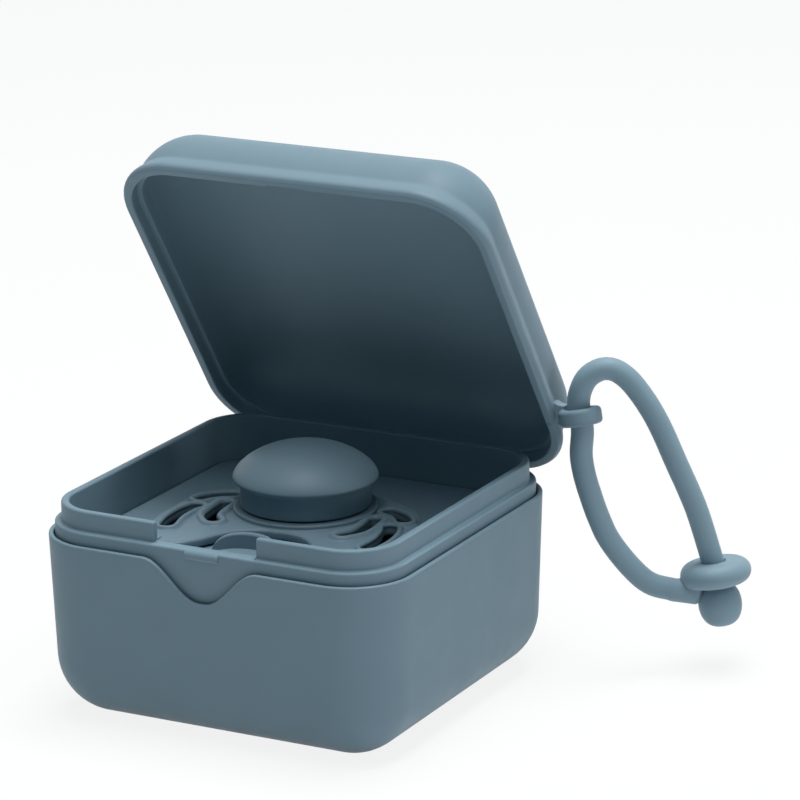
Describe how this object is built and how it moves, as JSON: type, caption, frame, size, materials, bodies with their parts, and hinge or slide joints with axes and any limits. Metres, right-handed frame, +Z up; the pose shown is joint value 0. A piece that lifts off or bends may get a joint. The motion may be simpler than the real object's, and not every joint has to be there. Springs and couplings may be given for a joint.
{
  "type": "pacifier box",
  "caption": "Square storage box for a pacifier, with a rounded hinged lid, a stepped liner, an inner tray and a soft loop strap on the lid.",
  "frame": {"origin": "middle of the casing's flat underside, on the surface the box stands on", "axes": "+X to the right along the front, +Y from the front to the hinge at the back, +Z up"},
  "size_m": [0.1041, 0.0831, 0.0964],
  "materials": {
    "casing": "matt, dusty slate blue",
    "silicone": "matt silicone, dusty slate blue",
    "pin": "plain steel"
  },
  "bodies": {
    "base": {"outer_shell": "casing", "liner": "casing"},
    "lid": {"lid": "casing", "hinge_pin": "pin"},
    "tray": {"tray": "casing"},
    "pacifier": {"pacifier_shield": "casing", "pacifier_knob": "casing", "pacifier_nipple": "silicone"},
    "strap": {"strap_cord": "silicone", "strap_collar": "silicone", "strap_ball": "silicone"}
  },
  "joints": [
    {"name": "lid_hinge", "type": "hinge", "parent": "base", "child": "lid", "pos_m": [0, 0.03635, 0.0321], "axis": [-1, 0, 0], "range_deg": [-56, 50]},
    {"name": "tray_lift", "type": "slide", "parent": "base", "child": "tray", "axis": [0, 0, 1], "range_m": [0, 0.0012]},
    {"name": "pacifier_lift", "type": "slide", "parent": "tray", "child": "pacifier", "axis": [0, 0, 1], "range_m": [0, 0.0015]},
    {"name": "strap_swing", "type": "hinge", "parent": "lid", "child": "strap", "pos_m": [0.0403, 0.0305, 0.0469], "axis": [-0.2233, 0.1222, 0.9671], "range_deg": [-15, 30]}
  ]
}
